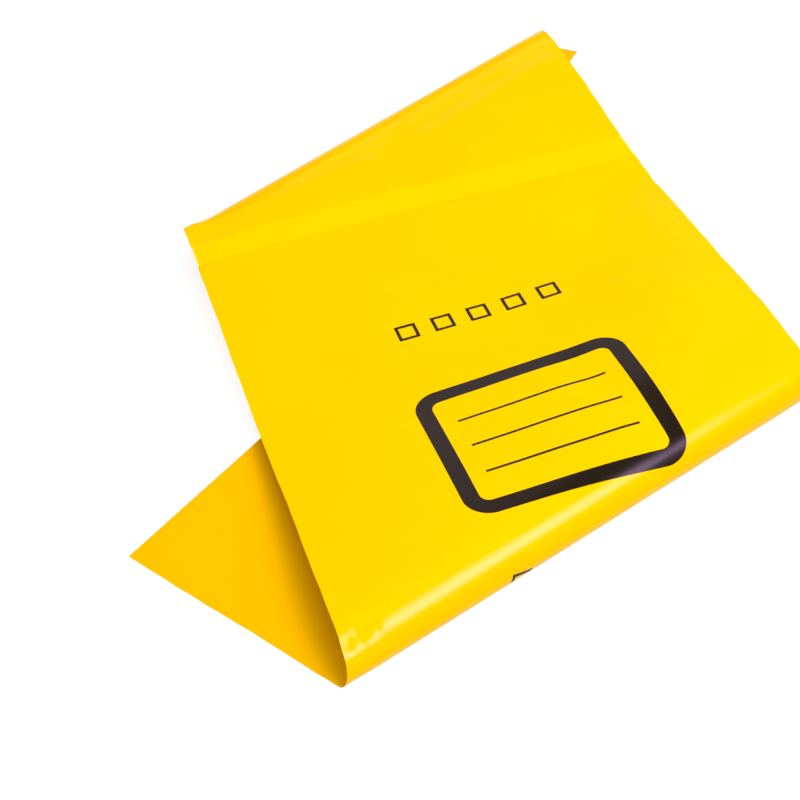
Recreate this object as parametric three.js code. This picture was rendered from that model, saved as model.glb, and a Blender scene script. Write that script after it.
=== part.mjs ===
// Biohazard waste bag, flat and empty, rolled over once near each end.
// The bag is one welded length of film. A closure strip is bonded across it below the mouth.
// Sizes in millimetres. +X runs along the front roll, +Y from it to the back of the bag, +Z up.
import * as THREE from "three";
import { mergeVertices } from "three/addons/utils/BufferGeometryUtils.js";

// The bag laid flat: u runs across it from its middle line, and v from its closed bottom.
const bagWidth = 310;
const bagLength = 740;
const bagThickness = 3; // two films and the air between them

// The closure strip.
const stripToMouth = 200;
const stripWidth = 22;
const stripThickness = 0.8;
const stripClearance = 0.3; // the bond between the strip and the film

// Each roll has its own skew to the bag's width.
// A tuck is the film beyond the upper panel, square to its roll, on the bag's middle line.
const frontRollSkew = THREE.MathUtils.degToRad(16);
const backRollSkew = THREE.MathUtils.degToRad(23);
const rollHeight = 24; // outer height of each roll
const bottomTuck = 221; // from the closed bottom to where the front roll meets the upper panel
const mouthTuck = 110; // from where the back roll meets the upper panel to the mouth
const panelSag = 12; // how far the upper panel sinks between the rolls

// Facets.
const columns = 16;
const lowerPanelRows = 3;
const rollRows = 12;
const upperPanelRows = 16;
const mouthPanelRows = 3;
const stripRows = 4;
const weldDistance = 1e-4; // corners closer than this are one corner

// The middle of the bag's thickness follows these.
const turnRadius = (rollHeight - bagThickness) / 2;
const crestHeight = rollHeight - bagThickness / 2;
const halfTurn = Math.PI * turnRadius;

// A straight line across the flat bag, as v on its middle line and its skew to the bag's width.
const squareLine = (v) => ({ v, skew: 0 });
const movedLine = (line, distance) => ({ v: line.v + distance / Math.cos(line.skew), skew: line.skew });

// The upper panel lies between these two lines, and the film goes over a roll at each of them.
const frontLine = { v: bottomTuck / Math.cos(frontRollSkew), skew: frontRollSkew };
const backLine = { v: bagLength - mouthTuck / Math.cos(backRollSkew), skew: backRollSkew };

// How far a point of the flat bag lies from a line, square to it, with the mouth's side positive.
const beyond = (line, u, v) => (v - line.v) * Math.cos(line.skew) - u * Math.sin(line.skew);

// Film that goes over a roll turns down and then lies flat underneath. The result is where it is,
// outwards from the start of the roll and up, and its outward normal.
function turnOver(run) {
  if (run > halfTurn) {
    return { out: halfTurn - run, up: bagThickness / 2, normalOut: 0, normalUp: -1 };
  }
  const angle = run / turnRadius;
  return {
    out: turnRadius * Math.sin(angle),
    up: crestHeight - turnRadius * (1 - Math.cos(angle)),
    normalOut: Math.sin(angle),
    normalUp: Math.cos(angle),
  };
}

// The upper panel sinks in one shallow wave, level where it meets the rolls.
function upperPanel(run, length) {
  const wave = (2 * Math.PI * run) / length;
  const tilt = Math.atan((-panelSag * Math.PI * Math.sin(wave)) / length);
  return {
    out: run,
    up: crestHeight - (panelSag * (1 - Math.cos(wave))) / 2,
    normalOut: -Math.sin(tilt),
    normalUp: Math.cos(tilt),
  };
}

// Places a point of the flat bag, lifted off the middle of its thickness, on the rolled bag.
function rolledPoint(u, v, lift) {
  const beyondFront = beyond(frontLine, u, v);
  const beyondBack = beyond(backLine, u, v);
  const mouthSide = beyondBack > 0;
  const skew = mouthSide ? backLine.skew : frontLine.skew;
  const run = mouthSide ? beyondBack : Math.abs(beyondFront);
  const onPanel = beyondFront > 0 && !mouthSide;
  const side = onPanel ? upperPanel(run, beyondFront - beyondBack) : turnOver(run);
  const direction = beyondFront > 0 ? 1 : -1;
  const shift = direction * (side.out + side.normalOut * lift - run);
  const flatU = u - shift * Math.sin(skew);
  const flatV = v + shift * Math.cos(skew);
  return new THREE.Vector3(
    flatU * Math.cos(frontRollSkew) + flatV * Math.sin(frontRollSkew),
    flatV * Math.cos(frontRollSkew) - flatU * Math.sin(frontRollSkew),
    side.up + side.normalUp * lift,
  );
}

// The lines that lead from one line up to another, without the last one.
function linesBetween(from, to, count) {
  return Array.from({ length: count }, (_, i) => {
    const rise = THREE.MathUtils.lerp(Math.tan(from.skew), Math.tan(to.skew), i / count);
    return { v: THREE.MathUtils.lerp(from.v, to.v, i / count), skew: Math.atan(rise) };
  });
}

// A slab whose rows follow the lines, rolled up with the bag. It is closed all round.
function rolledSlab(lines, width, thickness, middleLift) {
  const slab = new THREE.BoxGeometry(1, 1, 1, columns, lines.length - 1, 1);
  slab.deleteAttribute("normal");
  slab.deleteAttribute("uv");
  const corners = slab.getAttribute("position");
  for (let i = 0; i < corners.count; i += 1) {
    const line = lines[Math.round((corners.getY(i) + 0.5) * (lines.length - 1))];
    const u = corners.getX(i) * width;
    const v = line.v + Math.tan(line.skew) * u;
    const place = rolledPoint(u, v, middleLift + corners.getZ(i) * thickness);
    corners.setXYZ(i, place.x, place.y, place.z);
  }
  const closed = mergeVertices(slab, weldDistance);
  closed.computeVertexNormals();
  return closed;
}

// The welded film, from its closed bottom under the front roll to its mouth under the back roll.
const frontTurnEnd = movedLine(frontLine, -halfTurn);
const backTurnEnd = movedLine(backLine, halfTurn);
const mouthLine = squareLine(bagLength);
const bagLines = [
  ...linesBetween(squareLine(0), frontTurnEnd, lowerPanelRows),
  ...linesBetween(frontTurnEnd, frontLine, rollRows),
  ...linesBetween(frontLine, backLine, upperPanelRows),
  ...linesBetween(backLine, backTurnEnd, rollRows),
  ...linesBetween(backTurnEnd, mouthLine, mouthPanelRows),
  mouthLine,
];
const yellowFilm = new THREE.MeshStandardMaterial({ color: 0xffda00, roughness: 0.22, metalness: 0 });
const bagFilm = new THREE.Mesh(rolledSlab(bagLines, bagWidth, bagThickness, 0), yellowFilm);
bagFilm.name = "bag_film";

// The strip lies on the upper film, from one side edge to the other.
const stripTop = squareLine(bagLength - stripToMouth);
const stripFoot = squareLine(stripTop.v - stripWidth);
const stripLines = [...linesBetween(stripFoot, stripTop, stripRows), stripTop];
const stripLift = (bagThickness + stripThickness) / 2 + stripClearance;
const paleStrip = new THREE.MeshStandardMaterial({ color: 0xffe23a, roughness: 0.3, metalness: 0 });
const stripShape = rolledSlab(stripLines, bagWidth, stripThickness, stripLift);
const closureStrip = new THREE.Mesh(stripShape, paleStrip);
closureStrip.name = "closure_strip";

// The origin is under the middle of the bag's outline, on the surface that the bag lies on.
const pieces = new THREE.Group();
pieces.add(bagFilm, closureStrip);
const extent = new THREE.Box3().setFromObject(pieces);
const middle = extent.getCenter(new THREE.Vector3());
pieces.position.set(-middle.x, -middle.y, -extent.min.z);
const wasteBag = new THREE.Group();
wasteBag.name = "waste_bag";
wasteBag.add(pieces);

export default wasteBag;
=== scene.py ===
import math
from bisect import bisect

import bmesh
import bpy
from mathutils import Euler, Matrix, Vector, noise


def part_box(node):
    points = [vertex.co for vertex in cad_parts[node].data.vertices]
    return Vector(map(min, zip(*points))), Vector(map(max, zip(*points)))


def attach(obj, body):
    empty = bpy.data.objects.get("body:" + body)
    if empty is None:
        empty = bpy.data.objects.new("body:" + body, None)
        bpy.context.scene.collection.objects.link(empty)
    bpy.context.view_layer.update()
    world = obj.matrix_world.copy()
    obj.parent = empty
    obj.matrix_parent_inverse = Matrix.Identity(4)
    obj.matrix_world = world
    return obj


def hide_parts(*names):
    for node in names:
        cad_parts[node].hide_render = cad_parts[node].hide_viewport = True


bl_info = {
    "name": "Rolled Waste Bag",
    "version": (1, 0, 0),
    "blender": (4, 5, 0),
    "location": "3D View > Sidebar > Waste Bag",
    "description": "Builds a waste bag of printed film, its closure strip and the studio around it",
    "category": "Add Mesh",
}

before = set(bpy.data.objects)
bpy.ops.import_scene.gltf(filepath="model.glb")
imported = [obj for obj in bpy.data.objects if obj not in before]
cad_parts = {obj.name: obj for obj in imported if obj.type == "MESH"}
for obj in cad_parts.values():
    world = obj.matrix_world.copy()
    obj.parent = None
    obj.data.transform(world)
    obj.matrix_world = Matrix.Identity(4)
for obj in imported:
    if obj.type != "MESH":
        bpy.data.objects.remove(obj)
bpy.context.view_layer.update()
film_low, film_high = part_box("bag_film")


# Sizes and colours that a user would change

class WasteBagSizes(bpy.types.PropertyGroup):
    """Lengths in metres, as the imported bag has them."""

    bag_width: bpy.props.FloatProperty(
        name="Bag width", description="Width of the bag laid flat", default=0.310, unit="LENGTH")
    bag_length: bpy.props.FloatProperty(
        name="Bag length", description="Length of the bag laid flat, closed bottom to mouth",
        default=0.740, unit="LENGTH")
    film_thickness: bpy.props.FloatProperty(
        name="Film thickness", description="Thickness of one film", default=0.00006,
        precision=5, unit="LENGTH")
    film_gap: bpy.props.FloatProperty(
        name="Film gap", description="Air between the two films, inside the welds", default=0.0008,
        precision=4, unit="LENGTH")
    strip_to_mouth: bpy.props.FloatProperty(
        name="Strip to mouth", description="Distance from the closure strip to the mouth",
        default=0.200, unit="LENGTH")
    strip_width: bpy.props.FloatProperty(
        name="Strip width", description="Width of the closure strip", default=0.022, unit="LENGTH")
    bag_turn: bpy.props.FloatProperty(
        name="Bag turn", description="Angle between the width of the bag and the frame's X axis",
        default=math.radians(16), subtype="ANGLE")
    front_skew: bpy.props.FloatProperty(
        name="Front roll skew", description="Angle between the front roll and the width of the bag",
        default=math.radians(16.6), subtype="ANGLE")
    back_skew: bpy.props.FloatProperty(
        name="Back roll skew", description="Angle between the back roll and the width of the bag",
        default=math.radians(22.3), subtype="ANGLE")
    roll_height: bpy.props.FloatProperty(
        name="Roll height", description="Outer height of each roll", default=0.025, unit="LENGTH")
    roll_lean: bpy.props.FloatProperty(
        name="Roll lean", description="How much wider each roll turns at its top than underneath",
        default=0.7, min=0.0, max=0.9)
    roll_ease: bpy.props.FloatProperty(
        name="Roll ease", description="Extra radius where the panel starts to turn down",
        default=0.060, unit="LENGTH")
    bottom_tuck: bpy.props.FloatProperty(
        name="Bottom tuck", description="Film between the closed bottom and the upper panel",
        default=0.221, unit="LENGTH")
    mouth_tuck: bpy.props.FloatProperty(
        name="Mouth tuck", description="Film between the upper panel and the mouth",
        default=0.110, unit="LENGTH")
    panel_sag: bpy.props.FloatProperty(
        name="Panel sag", description="How far the upper panel sinks between the rolls",
        default=0.012, unit="LENGTH")


class WasteBagColours(bpy.types.PropertyGroup):
    """Linear colours of the film, the ink, the strip and the studio."""

    film: bpy.props.FloatVectorProperty(
        name="Film", description="Colour of the film", subtype="COLOR", default=(0.86, 0.502, 0.0))
    ink: bpy.props.FloatVectorProperty(
        name="Ink", description="Colour of the printing ink", subtype="COLOR",
        default=(0.008, 0.004, 0.030))
    strip: bpy.props.FloatVectorProperty(
        name="Strip", description="Colour of the closure strip", subtype="COLOR",
        default=(0.87, 0.525, 0.0))
    strip_end: bpy.props.FloatVectorProperty(
        name="Strip end", description="Colour of the strip's cut ends", subtype="COLOR",
        default=(0.92, 0.72, 0.32))
    floor: bpy.props.FloatVectorProperty(
        name="Floor", description="Colour of the floor", subtype="COLOR", default=(0.2, 0.2, 0.2))


# The shape of the rolled bag

# Rows and columns of each film
COLUMNS = 130
COLUMN_EVEN = 0.4  # the share of a column's place that is evenly spaced
COLUMN_CROWDING = 1.5  # the power that draws the rest of it to the left side
LOWER_PANEL_ROWS = 20
TURN_ROWS = 32
UPPER_PANEL_ROWS = 90
MOUTH_PANEL_ROWS = 14
SHARP_FOLD = math.radians(100)
SAME_CORNER = 1e-6

# The rolls
TURN_STEPS = 360
EASE_ANGLE = 0.15  # radians of the turn over which the extra radius fades
FRONT_ROLL_TIGHTER = 0.0034  # how much shorter the upper panel is at the front roll

# The two films, and how they lie on each other and on the floor
WELD_WIDTH = 0.004
WELD_GAP = 0.00012
PILLOW_REACH = 0.014
MOUTH_REACH = 0.05
MOUTH_GAP_SHARE = 0.35
FLOOR_GAP = 0.0001
LAYER_GAP = 0.0002
LAYER_RISE = 4  # the back film's rise over the front one, in half gaps, until LAYER_GAP

# The closure strip
STRIP_ROWS = 12
STRIP_THICKNESS = 0.0001
STRIP_LIFT = 0.00015
STRIP_RIM = 0.003


class Line:
    """A straight line across the flat bag, by where it crosses the middle line and its skew."""

    def __init__(self, middle, skew):
        self.middle = middle
        self.skew = skew

    def beyond(self, u, v):
        """How far a point lies from the line, square to it, with the mouth's side positive."""
        return (v - self.middle) * math.cos(self.skew) - u * math.sin(self.skew)

    def moved(self, distance):
        return Line(self.middle + distance / math.cos(self.skew), self.skew)

    def v(self, u):
        return self.middle + u * math.tan(self.skew)


class Turn:
    """The side view of film that turns down over a roll and then lies flat underneath.

    The radius is wide where the turn starts, which eases the panel into it, and tight underneath.
    """

    def __init__(self, height, lean, ease):
        # The extra radius alone takes the film this far down, and the plain one does the rest
        left_at_end = math.exp(-math.pi / EASE_ANGLE)
        ease_drop = ease * (1 + left_at_end) * EASE_ANGLE ** 2 / (1 + EASE_ANGLE ** 2)
        radius = (height - ease_drop) / 2
        step = math.pi / TURN_STEPS
        self.runs, self.points = [0.0], [(0.0, 0.0, 0.0)]
        run = out = down = 0.0
        for i in range(TURN_STEPS):
            angle = (i + 0.5) * step
            length = (radius * (1 + lean * math.cos(angle)) + ease * math.exp(-angle / EASE_ANGLE)) * step
            run += length
            out += length * math.cos(angle)
            down += length * math.sin(angle)
            self.runs.append(run)
            self.points.append((out, down, angle + step / 2))
        self.end = run
        self.reach = max(out for out, _, _ in self.points)

    def at(self, run):
        """How far out and down the film is, and its angle, at a length past the start."""
        if run >= self.end:
            out, down, angle = self.points[-1]
            return out - (run - self.end), down, angle
        i = bisect(self.runs, run) - 1
        share = (run - self.runs[i]) / (self.runs[i + 1] - self.runs[i])
        return tuple(a + (b - a) * share for a, b in zip(self.points[i], self.points[i + 1]))

    def rows(self):
        """Lengths past the start, spread over both the length and the angle of the turn."""
        picked = []
        for run, (_, _, angle) in zip(self.runs, self.points):
            if (run / self.end + angle / math.pi) / 2 >= len(picked) / TURN_ROWS:
                picked.append(run)
        return picked[:TURN_ROWS]


class RolledBag:
    """Places points of the flat bag on the rolled one. u runs across the bag, v from its bottom."""

    def __init__(self, sizes):
        self.sizes = sizes
        self.crest = sizes.roll_height - sizes.film_gap / 2
        self.turn = Turn(sizes.roll_height - sizes.film_gap, sizes.roll_lean, sizes.roll_ease)
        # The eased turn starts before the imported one, so that it reaches as far out
        packed_reach = (film_high[2] - film_low[2]) / 2
        self.early = self.turn.reach + sizes.film_gap / 2 - packed_reach
        front = Line(sizes.bottom_tuck / math.cos(sizes.bag_turn) + FRONT_ROLL_TIGHTER, sizes.front_skew)
        back = Line(sizes.bag_length - sizes.mouth_tuck / math.cos(sizes.back_skew), sizes.back_skew)
        self.front, self.back = front.moved(self.early), back.moved(-self.early)
        leftmost = -sizes.bag_width / 2 * math.cos(sizes.bag_turn)
        foremost = sizes.bottom_tuck - packed_reach
        self.shift = Vector((film_low[0] - leftmost, film_low[1] - foremost, film_low[2]))

    def upper_panel(self, run, length):
        """The upper panel sinks in one shallow wave, level where it meets the rolls."""
        sag = self.sizes.panel_sag
        wave = 2 * math.pi * run / length
        tilt = math.atan(-sag * math.pi * math.sin(wave) / length)
        return run, self.crest - sag * (1 - math.cos(wave)) / 2, -math.sin(tilt), math.cos(tilt)

    def place(self, u, v, lift):
        """The point of the rolled bag that lies lift above the middle of its thickness."""
        front, back = self.front.beyond(u, v), self.back.beyond(u, v)
        skew = self.back.skew if back > 0 else self.front.skew
        direction = 1 if front > 0 else -1
        if front > 0 > back:
            run = front
            out, up, normal_out, normal_up = self.upper_panel(run, front - back)
        else:
            run = max(back, -front)
            out, down, angle = self.turn.at(run)
            up, normal_out, normal_up = self.crest - down, math.sin(angle), math.cos(angle)
        moved = direction * (out + normal_out * lift - run)
        flat_u = u - moved * math.sin(skew)
        flat_v = v + moved * math.cos(skew)
        cos, sin = math.cos(self.sizes.bag_turn), math.sin(self.sizes.bag_turn)
        point = Vector((flat_u * cos + flat_v * sin, flat_v * cos - flat_u * sin, up + normal_up * lift))
        return point + self.shift

    def rows(self):
        """Lines across the flat bag that follow the rolls, close together on the turns."""
        bottom, mouth = Line(0.0, 0.0), Line(self.sizes.bag_length, 0.0)
        turned = self.turn.rows()
        return [
            *between(bottom, self.front.moved(-self.turn.end), LOWER_PANEL_ROWS),
            self.front.moved(-self.turn.end),
            *(self.front.moved(-run) for run in reversed(turned[1:])),
            *between(self.front, self.back, UPPER_PANEL_ROWS),
            *(self.back.moved(run) for run in turned),
            *between(self.back.moved(self.turn.end), mouth, MOUTH_PANEL_ROWS),
            mouth,
        ]


def between(first, last, count):
    """The lines that lead from one line up to another, without the last one."""
    rises = math.tan(first.skew), math.tan(last.skew)
    lines = []
    for i in range(count):
        share = i / count
        middle = first.middle + (last.middle - first.middle) * share
        lines.append(Line(middle, math.atan(rises[0] + (rises[1] - rises[0]) * share)))
    return lines


def smooth_step(x):
    """Goes from 0 to 1 as x does, level at both ends."""
    x = min(max(x, 0.0), 1.0)
    return x * x * (3 - 2 * x)


# Creases and swells: where each starts and ends on the flat bag, its height and its half width
SWELLS = (
    # The swell at the right of the print, and the hollow before it
    ((0.090, 0.300), (0.150, 0.440), 0.0036, 0.036),
    ((0.034, 0.330), (0.058, 0.262), -0.0012, 0.014),
    # The faint buckle that runs off the strip
    ((-0.016, 0.575), (-0.015, 0.522), 0.0007, 0.0055),
    ((-0.004, 0.556), (0.002, 0.538), -0.0006, 0.0045),
    # Film that dips beside the strip's left end
    ((-0.156, 0.545), (-0.128, 0.549), -0.0008, 0.005),
    ((-0.156, 0.508), (-0.134, 0.500), -0.0010, 0.008),
    # Shallow swells of the upper panel
    ((-0.120, 0.300), (-0.060, 0.420), 0.0014, 0.030),
    ((-0.060, 0.470), (0.080, 0.500), 0.0012, 0.022),
    # Faint creases in front of the back roll
    ((-0.110, 0.563), (-0.020, 0.579), 0.0007, 0.004),
    ((0.030, 0.590), (0.140, 0.640), 0.0009, 0.006),
)
CRUMPLES = (
    # Dents in the front roll at the left side edge, and the grooves beside them
    ((-0.1415, 0.1895), (-0.1405, 0.1915), -0.0012, 0.0058),
    ((-0.1520, 0.1850), (-0.1510, 0.1870), -0.0012, 0.0048),
    ((-0.1362, 0.1990), (-0.1325, 0.1810), -0.0004, 0.0015),
    ((-0.1462, 0.1940), (-0.1425, 0.1765), -0.0005, 0.0015),
    # The raised left corner of the back roll
    ((-0.160, 0.558), (-0.150, 0.562), 0.0030, 0.009),
)
CREASE_REACH = 3  # half widths from its line to where a crease has faded out

# Uneven film: how quickly the waves follow each other both ways, a seed and a height
BROAD_WAVES = (9, 7, 1.7, 0.0014)
FINE_WAVES = (34, 26, 5.1, 0.00035)
FLUTTER_WAVES = (9, 60, 8.3, 0.0009)
SLOW_EDGE_WAVES = (22, 5, 3.3, 0.0004)
QUICK_EDGE_WAVES = (90, 1, 6.1, 0.0003)
FLUTTER_REACH = 0.012
EDGE_WAVE_POWER = 12  # keeps the waves of the side edges out of the rest of the film
ROLL_FADE = 0.022
ROLL_SHARE = 0.15  # what the rolls leave of the unevenness


def height_of(creases, u, v):
    """How high all of these creases together lift a point of the flat bag."""
    total = 0.0
    for (u0, v0), (u1, v1), height, width in creases:
        du, dv = u1 - u0, v1 - v0
        length = math.hypot(du, dv)
        along = ((u - u0) * du + (v - v0) * dv) / length
        aside = ((v - v0) * du - (u - u0) * dv) / length
        beyond = max(0.0, -along, along - length)
        distance = math.hypot(beyond, aside) / width
        if distance < CREASE_REACH:
            total += height * math.exp(-distance * distance)
    return total


def waves(first, second, kind):
    """The height of one kind of waves at a point."""
    first_rate, second_rate, seed, height = kind
    return noise.noise(Vector((first * first_rate, second * second_rate, seed))) * height


def relief(u, v, bag):
    """How far the bag's middle stands proud of the plain rolled shape. The rolls pull it straight."""
    past = max(bag.back.beyond(u, v), -bag.front.beyond(u, v))
    share = 1 - (1 - ROLL_SHARE) * smooth_step(past / ROLL_FADE)
    from_side = bag.sizes.bag_width / 2 - abs(u)
    flutter = waves(u, v, FLUTTER_WAVES) * smooth_step(1 - from_side / FLUTTER_REACH)
    uneven = waves(u, v, BROAD_WAVES) + waves(u, v, FINE_WAVES) + flutter + height_of(SWELLS, u, v)
    return uneven * share + height_of(CRUMPLES, u, v)


def column_place(share, bag):
    """Where a column lies across the bag. They are closer together at the crumpled left side."""
    eased = COLUMN_EVEN * share + (1 - COLUMN_EVEN) * share ** COLUMN_CROWDING
    return (eased - 0.5) * bag.sizes.bag_width


def edge_wave(u, v, bag):
    """How far the film's side edges stray from straight ones."""
    share = abs(u) / (bag.sizes.bag_width / 2)
    stray = waves(v, u, SLOW_EDGE_WAVES) + waves(v, u, QUICK_EDGE_WAVES)
    return stray * share ** EDGE_WAVE_POWER


def film_gap(u, v, bag):
    """Half the distance between the two films: least at the welds and the mouth, full inside."""
    sizes = bag.sizes
    from_weld = min(sizes.bag_width / 2 - abs(u), v)
    if from_weld <= 0:
        return 0.0
    pillow = smooth_step((from_weld - WELD_WIDTH) / PILLOW_REACH)
    mouth = MOUTH_GAP_SHARE + (1 - MOUTH_GAP_SHARE) * smooth_step((sizes.bag_length - v) / MOUTH_REACH)
    return WELD_GAP / 2 + pillow * mouth * (sizes.film_gap - WELD_GAP) / 2


def settled(bag, point, above):
    """Keeps a point of the film out of the floor, and this much further up or more."""
    return Vector((point.x, point.y, max(point.z, bag.shift.z + FLOOR_GAP + above)))


def grid_share(place, reach):
    """How far along a grid a place on it is, from 0 to 1. The grid reaches as far both ways."""
    return (place / reach + 1) / 2


def film_mesh(bag):
    """Both films of the bag on one mesh, joined along the side edges and the bottom."""
    mesh = bmesh.new()
    flat = mesh.loops.layers.uv.new("flat")
    printed = mesh.faces.layers.float.new("printed")
    rows = bag.rows()
    for side in (1, -1):
        made = bmesh.ops.create_grid(mesh, x_segments=COLUMNS, y_segments=len(rows) - 1, size=0.5)
        verts = made["verts"]
        reach = max(vert.co.x for vert in verts)
        places = {}
        for vert in verts:
            row = rows[round(grid_share(vert.co.y, reach) * (len(rows) - 1))]
            u = column_place(grid_share(vert.co.x, reach), bag)
            v = row.v(u)
            places[vert] = (u, v)
            gap = film_gap(u, v, bag)
            point = bag.place(u + edge_wave(u, v, bag), v, relief(u, v, bag) + side * gap)
            # Where the bag is folded under, the front film is the lower one, with the back film on it
            vert.co = settled(bag, point, min(LAYER_RISE * gap, LAYER_GAP) if side < 0 else 0.0)
        faces = {face for vert in verts for face in vert.link_faces}
        for face in faces:
            face[printed] = side
            for loop in face.loops:
                loop[flat].uv = places[loop.vert]
        if side < 0:
            bmesh.ops.reverse_faces(mesh, faces=list(faces))
    bmesh.ops.remove_doubles(mesh, verts=mesh.verts, dist=SAME_CORNER)
    bmesh.ops.recalc_face_normals(mesh, faces=mesh.faces)
    for edge in mesh.edges:
        if len(edge.link_faces) == 2 and edge.calc_face_angle(0) > SHARP_FOLD:
            edge.smooth = False
    return mesh


def finished(mesh, name, material):
    """Turns a bmesh into a piece with one material, smooth shaded."""
    data = bpy.data.meshes.new(name)
    mesh.to_mesh(data)
    mesh.free()
    data.shade_smooth()
    data.materials.append(material)
    piece = bpy.data.objects.new(name, data)
    bpy.context.scene.collection.objects.link(piece)
    return piece


# Materials

FILM_IOR = 1.5
FILM_TINT = (1.0, 0.68, 1.0, 1)  # of its reflections
FILM_SPECULAR = 0.42
FILM_TRANSLUCENCY = 0.14
FILM_ROUGHNESS, FILM_BUMP = 0.29, 0.10
STRIP_ROUGHNESS, STRIP_BUMP = 0.26, 0.06

# Lines drawn along the bag as the film was made, and faint wrinkles, in repeats per metre
DRAWN_SCALE = 900
DRAWN_STRETCH = 0.03
DRAWN_SHARE = 0.12
WRINKLE_SCALE = 60
WRINKLE_DEPTH = 0.001

CLOUD_SCALE = 14
CLOUD_SHADE = (0.97, 0.93)  # how much red and green the film keeps where it is cloudy
BACK_PAINTED_SHADE = (0.96, 0.83)  # and how much the back film keeps, a painted shade that darkens it
STRIP_END_WIDTH = 0.0008
STRIP_END_SOFTNESS = 0.0002
INK_SOFTNESS = 0.00008


class Nodes:
    """Short calls that add nodes to a material or world and join them."""

    def __init__(self, owner):
        owner.use_nodes = True
        self.tree = owner.node_tree
        self.tree.nodes.clear()

    def add(self, kind, **settings):
        node = self.tree.nodes.new(kind)
        for name, value in settings.items():
            setattr(node, name, value)
        return node

    def join(self, source, target):
        self.tree.links.new(source, target)

    def math(self, operation, *inputs):
        node = self.add("ShaderNodeMath", operation=operation)
        for socket, value in zip(node.inputs, inputs):
            if isinstance(value, (int, float)):
                socket.default_value = value
            else:
                self.join(value, socket)
        return node.outputs[0]

    def noise(self, vector, scale, detail):
        node = self.add("ShaderNodeTexNoise")
        node.inputs["Scale"].default_value = scale
        node.inputs["Detail"].default_value = detail
        self.join(vector, node.inputs["Vector"])
        return node.outputs["Fac"]

    def inside(self, value, limit, softness=INK_SOFTNESS):
        """1 where value is under limit, 0 where it is over."""
        node = self.add("ShaderNodeMapRange")
        self.join(value, node.inputs["Value"])
        node.inputs["From Min"].default_value = limit - softness
        node.inputs["From Max"].default_value = limit + softness
        node.inputs["To Min"].default_value = 1
        node.inputs["To Max"].default_value = 0
        return node.outputs[0]

    def steps(self, value, stops):
        """A grey that goes from one level to the next between stops."""
        node = self.add("ShaderNodeValToRGB")
        self.join(value, node.inputs["Fac"])
        ramp = node.color_ramp.elements
        while len(ramp) < len(stops):
            ramp.new(0.5)
        for element, (place, level) in zip(ramp, stops):
            element.position = place
            element.color = (level, level, level, 1)
        return node.outputs["Color"]

    def mix_colour(self, factor, first, second):
        node = self.add("ShaderNodeMix", data_type="RGBA")
        # A Mix node has sockets for each kind of data, and these are the factor and the colours
        sockets = (node.inputs[0], node.inputs[6], node.inputs[7])
        for socket, value in zip(sockets, (factor, first, second)):
            if hasattr(value, "is_linked"):
                self.join(value, socket)
            elif isinstance(value, (int, float)):
                socket.default_value = value
            else:
                socket.default_value = (*value, 1)
        return node.outputs[2]


# The print, in metres on the flat bag: a blank panel to write on, and boxes to tick beyond it
# on both sides
PANEL_CENTRE = 0.292
PANEL_HALF_WIDTH = 0.066
PANEL_HALF_HEIGHT = 0.056
PANEL_ROUNDING = 0.016
PANEL_STROKE = 0.010
WRITING_LINES = (0.268, 0.292, 0.316)  # where they cross the bag
WRITING_LINE_REACH = 0.046
WRITING_LINE_HALF_WIDTH = 0.0009
BOX_ROWS = (0.4085, 0.1915)
BOX_PITCH = 0.0235
BOX_COUNT = 5
BOX_HALF_WIDTH = 0.0068
BOX_STROKE = 0.0022


def length_of(nodes, x, y):
    """The length of a vector with these two parts."""
    squares = nodes.math("MULTIPLY", x, x), nodes.math("MULTIPLY", y, y)
    return nodes.math("SQRT", nodes.math("ADD", *squares))


def outlined(nodes, distance, stroke):
    """Ink between a shape's outline, where the distance is nothing, and a stroke inside it."""
    return nodes.math("SUBTRACT", nodes.inside(distance, 0.0), nodes.inside(distance, -stroke))


def print_mask(nodes, u, v):
    """1 on ink, 0 on bare film."""
    far_u = nodes.math("ABSOLUTE", u)
    far_v = nodes.math("ABSOLUTE", nodes.math("SUBTRACT", v, PANEL_CENTRE))
    out_u = nodes.math("SUBTRACT", far_u, PANEL_HALF_WIDTH - PANEL_ROUNDING)
    out_v = nodes.math("SUBTRACT", far_v, PANEL_HALF_HEIGHT - PANEL_ROUNDING)
    corner = length_of(nodes, nodes.math("MAXIMUM", out_u, 0.0), nodes.math("MAXIMUM", out_v, 0.0))
    inner = nodes.math("MINIMUM", nodes.math("MAXIMUM", out_u, out_v), 0.0)
    outline = nodes.math("SUBTRACT", nodes.math("ADD", corner, inner), PANEL_ROUNDING)
    mask = outlined(nodes, outline, PANEL_STROKE)

    # The boxes are one box, repeated along both rows
    rows = [nodes.math("ABSOLUTE", nodes.math("SUBTRACT", v, middle)) for middle in BOX_ROWS]
    row = nodes.math("MINIMUM", *rows)
    repeat = nodes.math("PINGPONG", nodes.math("ADD", u, BOX_COUNT * BOX_PITCH), BOX_PITCH / 2)
    box = nodes.math("SUBTRACT", nodes.math("MAXIMUM", repeat, row), BOX_HALF_WIDTH)
    boxes = nodes.math("MULTIPLY", outlined(nodes, box, BOX_STROKE),
                       nodes.inside(far_u, BOX_COUNT * BOX_PITCH / 2))
    mask = nodes.math("MAXIMUM", mask, boxes)

    for middle in WRITING_LINES:
        over = nodes.math("ABSOLUTE", nodes.math("SUBTRACT", v, middle))
        line = nodes.math("MULTIPLY", nodes.inside(over, WRITING_LINE_HALF_WIDTH),
                          nodes.inside(far_u, WRITING_LINE_REACH))
        mask = nodes.math("MAXIMUM", mask, line)
    return mask


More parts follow.
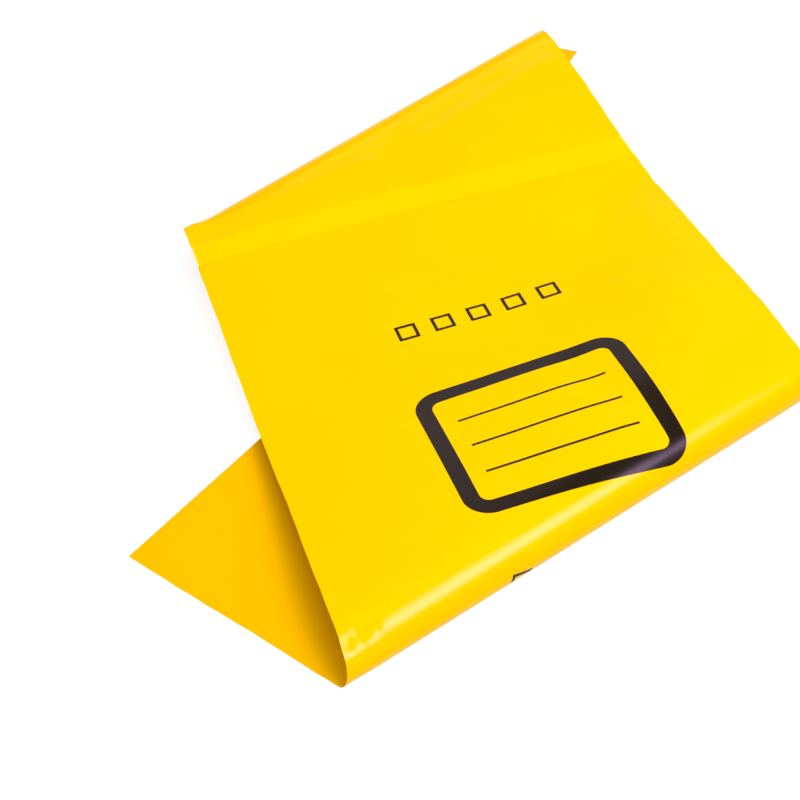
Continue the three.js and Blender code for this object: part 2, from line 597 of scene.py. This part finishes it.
def film_surface(nodes, colour, flat, roughness, bump_strength):
    """Glossy film that lets a little light through, with drawn lines and faint wrinkles."""
    shader = nodes.add("ShaderNodeBsdfPrincipled")
    shader.inputs["IOR"].default_value = FILM_IOR
    shader.inputs["Specular Tint"].default_value = FILM_TINT
    shader.inputs["Specular IOR Level"].default_value = FILM_SPECULAR
    shader.inputs["Roughness"].default_value = roughness
    nodes.join(colour, shader.inputs["Base Color"])

    stretch = nodes.add("ShaderNodeMapping")
    stretch.inputs["Scale"].default_value = (1.0, DRAWN_STRETCH, 1.0)
    nodes.join(flat, stretch.inputs["Vector"])
    drawn = nodes.noise(stretch.outputs["Vector"], DRAWN_SCALE, detail=1)
    wrinkles = nodes.noise(flat, WRINKLE_SCALE, detail=3)
    height = nodes.math("ADD", nodes.math("MULTIPLY", drawn, DRAWN_SHARE), wrinkles)
    bump = nodes.add("ShaderNodeBump")
    bump.inputs["Strength"].default_value = bump_strength
    bump.inputs["Distance"].default_value = WRINKLE_DEPTH
    nodes.join(height, bump.inputs["Height"])
    nodes.join(bump.outputs["Normal"], shader.inputs["Normal"])

    through = nodes.add("ShaderNodeBsdfTranslucent")
    nodes.join(colour, through.inputs["Color"])
    mix = nodes.add("ShaderNodeMixShader")
    mix.inputs["Fac"].default_value = FILM_TRANSLUCENCY
    nodes.join(shader.outputs[0], mix.inputs[1])
    nodes.join(through.outputs[0], mix.inputs[2])
    output = nodes.add("ShaderNodeOutputMaterial")
    nodes.join(mix.outputs[0], output.inputs["Surface"])


def flat_place(nodes):
    """A point's place on the flat bag, as a vector and as its u and v."""
    flat = nodes.add("ShaderNodeUVMap", uv_map="flat").outputs[0]
    split = nodes.add("ShaderNodeSeparateXYZ")
    nodes.join(flat, split.inputs[0])
    return flat, split.outputs[0], split.outputs[1]


def shaded(colour, shade):
    """A yellow with this much of its red and green kept."""
    return colour[0] * shade[0], colour[1] * shade[1], colour[2]


def film_material(colours):
    """Yellow film, a little cloudy. The front film is printed, and the back film is darkened with painted
    shade.
    """
    material = bpy.data.materials.new("yellow_film")
    nodes = Nodes(material)
    flat, u, v = flat_place(nodes)
    # 1 on the front film and -1 on the back film
    printed = nodes.add("ShaderNodeAttribute", attribute_name="printed").outputs["Fac"]
    ink = nodes.math("MULTIPLY", print_mask(nodes, u, v), nodes.math("GREATER_THAN", printed, 0.5))
    cloudy = nodes.noise(flat, CLOUD_SCALE, detail=2)
    yellow = nodes.mix_colour(cloudy, colours.film[:], shaded(colours.film, CLOUD_SHADE))
    # The back film gets painted shade: a darker yellow than the front film's
    back_painted_shade = nodes.math("LESS_THAN", printed, -0.5)
    yellow = nodes.mix_colour(back_painted_shade, yellow, shaded(colours.film, BACK_PAINTED_SHADE))
    colour = nodes.mix_colour(ink, yellow, colours.ink[:])
    film_surface(nodes, colour, flat, FILM_ROUGHNESS, FILM_BUMP)
    return material


def strip_material(colours, bag_width):
    """The film's own yellow, with a cream cut end at each side edge."""
    material = bpy.data.materials.new("pale_strip")
    nodes = Nodes(material)
    flat, u, _ = flat_place(nodes)
    inner_reach = bag_width / 2 - STRIP_END_WIDTH
    inner = nodes.inside(nodes.math("ABSOLUTE", u), inner_reach, STRIP_END_SOFTNESS)
    colour = nodes.mix_colour(inner, colours.strip_end[:], colours.strip[:])
    film_surface(nodes, colour, flat, STRIP_ROUGHNESS, STRIP_BUMP)
    return material


# Operators

class WASTEBAG_OT_film(bpy.types.Operator):
    """Makes the bag's two films, rolled over near each end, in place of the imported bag"""

    bl_idname = "wastebag.film"
    bl_label = "Bag Film"

    def execute(self, context):
        bag = RolledBag(context.scene.waste_bag_sizes)
        film = finished(film_mesh(bag), "bag_of_film", film_material(context.scene.waste_bag_colours))
        wall = film.modifiers.new("Film wall", "SOLIDIFY")
        wall.thickness = bag.sizes.film_thickness
        wall.offset = -1
        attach(film, "root")
        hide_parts("bag_film")
        return {"FINISHED"}


class WASTEBAG_OT_strip(bpy.types.Operator):
    """Bonds the closure strip across the upper film"""

    bl_idname = "wastebag.strip"
    bl_label = "Closure Strip"

    def execute(self, context):
        bag = RolledBag(context.scene.waste_bag_sizes)
        sizes = bag.sizes
        mesh = bmesh.new()
        flat = mesh.loops.layers.uv.new("flat")
        bmesh.ops.create_grid(mesh, x_segments=COLUMNS, y_segments=STRIP_ROWS, size=0.5)
        reach = max(vert.co.x for vert in mesh.verts)
        foot = sizes.bag_length - sizes.strip_to_mouth - sizes.strip_width
        for vert in mesh.verts:
            u = column_place(grid_share(vert.co.x, reach), bag)
            v = foot + grid_share(vert.co.y, reach) * sizes.strip_width
            for loop in vert.link_loops:
                loop[flat].uv = (u, v)
            from_rim = min(v - foot, foot + sizes.strip_width - v)
            lift = STRIP_LIFT * smooth_step(from_rim / STRIP_RIM) + STRIP_THICKNESS
            lift += relief(u, v, bag) + film_gap(u, v, bag)
            vert.co = bag.place(u + edge_wave(u, v, bag), v, lift)
        for edge in mesh.edges:
            edge.smooth = not edge.is_boundary
        material = strip_material(context.scene.waste_bag_colours, sizes.bag_width)
        strip = finished(mesh, "strip_of_film", material)
        wall = strip.modifiers.new("Strip wall", "SOLIDIFY")
        wall.thickness = STRIP_THICKNESS
        wall.offset = -1
        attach(strip, "root")
        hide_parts("closure_strip")
        return {"FINISHED"}


# The studio

# The sky, from the horizon up: the sine of a height and how bright it is there
SKY = ((0.0, 1.05), (0.03, 1.05), (0.06, 0.15), (0.37, 0.15), (0.40, 1.7), (0.44, 1.7), (0.47, 0.9),
       (0.705, 0.9), (0.745, 0.2))

# Each lamp's place, what it points at, its size, its power in watts and whether the film reflects it
LAMPS = {
    # The soft box that the front roll's top reflects, and fill that only lights
    "Overhead": ((0.28, -0.93, 1.1), (0.0, -0.20, 0.0), (0.78, 0.54), 15.5, True),
    "Top fill": ((0.30, 0.30, 1.3), (0.0, 0.0, 0.0), (1.2, 1.2), 14.0, False),
    "Left fill": ((-1.3, -1.0, 0.9), (-0.1, -0.1, 0.0), (1.0, 0.8), 7.0, False),
}

FLOOR_REACH = 30
FLOOR_ROUGHNESS = 0.9
FLOOR_GLOW = 0.8
BLUE_BLACK_LEVEL = 0.048  # takes the last blue out of the yellow

CAMERA_PLACE = (-0.39603, -0.65362, 0.65175)
CAMERA_TURN = (46.2345, 5.9878, -34.0747)  # degrees
CAMERA_LENS, CAMERA_SENSOR = 70.387, 36  # millimetres


def studio_world():
    """A sky in bands, for the film to reflect."""
    world = bpy.data.worlds.new("Studio")
    nodes = Nodes(world)
    direction = nodes.add("ShaderNodeTexCoord").outputs["Generated"]
    split = nodes.add("ShaderNodeSeparateXYZ")
    nodes.join(direction, split.inputs[0])
    background = nodes.add("ShaderNodeBackground")
    nodes.join(nodes.steps(split.outputs[2], SKY), background.inputs["Color"])
    nodes.join(background.outputs[0], nodes.add("ShaderNodeOutputWorld").inputs["Surface"])
    return world


class WASTEBAG_OT_studio(bpy.types.Operator):
    """Sets up the pale floor, the soft lights and the camera"""

    bl_idname = "wastebag.studio"
    bl_label = "Studio"

    def execute(self, context):
        colours = context.scene.waste_bag_colours
        mesh = bmesh.new()
        bmesh.ops.create_grid(mesh, x_segments=1, y_segments=1, size=FLOOR_REACH)
        material = bpy.data.materials.new("pale_floor")
        nodes = Nodes(material)
        shader = nodes.add("ShaderNodeBsdfPrincipled")
        shader.inputs["Base Color"].default_value = (*colours.floor, 1)
        shader.inputs["Roughness"].default_value = FLOOR_ROUGHNESS
        shader.inputs["Emission Color"].default_value = (1, 1, 1, 1)
        shader.inputs["Emission Strength"].default_value = FLOOR_GLOW
        nodes.join(shader.outputs[0], nodes.add("ShaderNodeOutputMaterial").inputs["Surface"])
        floor = finished(mesh, "pale_floor", material)

        camera = bpy.data.cameras.new("Camera")
        camera.lens = CAMERA_LENS
        camera.sensor_width = CAMERA_SENSOR
        holder = bpy.data.objects.new("Camera", camera)
        holder.location = CAMERA_PLACE
        holder.rotation_euler = Euler([math.radians(a) for a in CAMERA_TURN])
        context.scene.collection.objects.link(holder)
        context.scene.camera = holder

        context.scene.world = studio_world()
        for name, settings in LAMPS.items():
            self.lamp(context, name, *settings)
        grade = context.scene.view_settings
        grade.view_transform = "Standard"
        grade.use_curve_mapping = True
        grade.curve_mapping.black_level = (0.0, 0.0, BLUE_BLACK_LEVEL)
        grade.curve_mapping.update()
        return {"FINISHED"}

    def lamp(self, context, name, place, aim, size, power, shows):
        light = bpy.data.lights.new(name, "AREA")
        light.shape = "RECTANGLE"
        light.size, light.size_y = size
        light.energy = power
        lamp = bpy.data.objects.new(name, light)
        lamp.location = place
        lamp.rotation_euler = (Vector(aim) - Vector(place)).to_track_quat("-Z", "Y").to_euler()
        lamp.visible_glossy = shows
        context.scene.collection.objects.link(lamp)


class WASTEBAG_PT_panel(bpy.types.Panel):
    """Lists the pieces of the waste bag, its sizes and its colours"""

    bl_idname = "WASTEBAG_PT_panel"
    bl_label = "Waste Bag"
    bl_space_type = "VIEW_3D"
    bl_region_type = "UI"
    bl_category = "Waste Bag"

    def draw(self, context):
        layout = self.layout
        for group in (context.scene.waste_bag_sizes, context.scene.waste_bag_colours):
            box = layout.box()
            for name in group.__annotations__:
                box.prop(group, name)
        for operator in OPERATORS:
            layout.operator(operator.bl_idname)


OPERATORS = (WASTEBAG_OT_film, WASTEBAG_OT_strip, WASTEBAG_OT_studio)
CLASSES = (WasteBagSizes, WasteBagColours, *OPERATORS, WASTEBAG_PT_panel)


def register():
    for each in CLASSES:
        bpy.utils.register_class(each)
    bpy.types.Scene.waste_bag_sizes = bpy.props.PointerProperty(type=WasteBagSizes)
    bpy.types.Scene.waste_bag_colours = bpy.props.PointerProperty(type=WasteBagColours)


def unregister():
    del bpy.types.Scene.waste_bag_colours
    del bpy.types.Scene.waste_bag_sizes
    for each in reversed(CLASSES):
        bpy.utils.unregister_class(each)


def main():
    register()
    bpy.ops.wastebag.film()
    bpy.ops.wastebag.strip()
    bpy.ops.wastebag.studio()


if __name__ == "__main__":
    main()
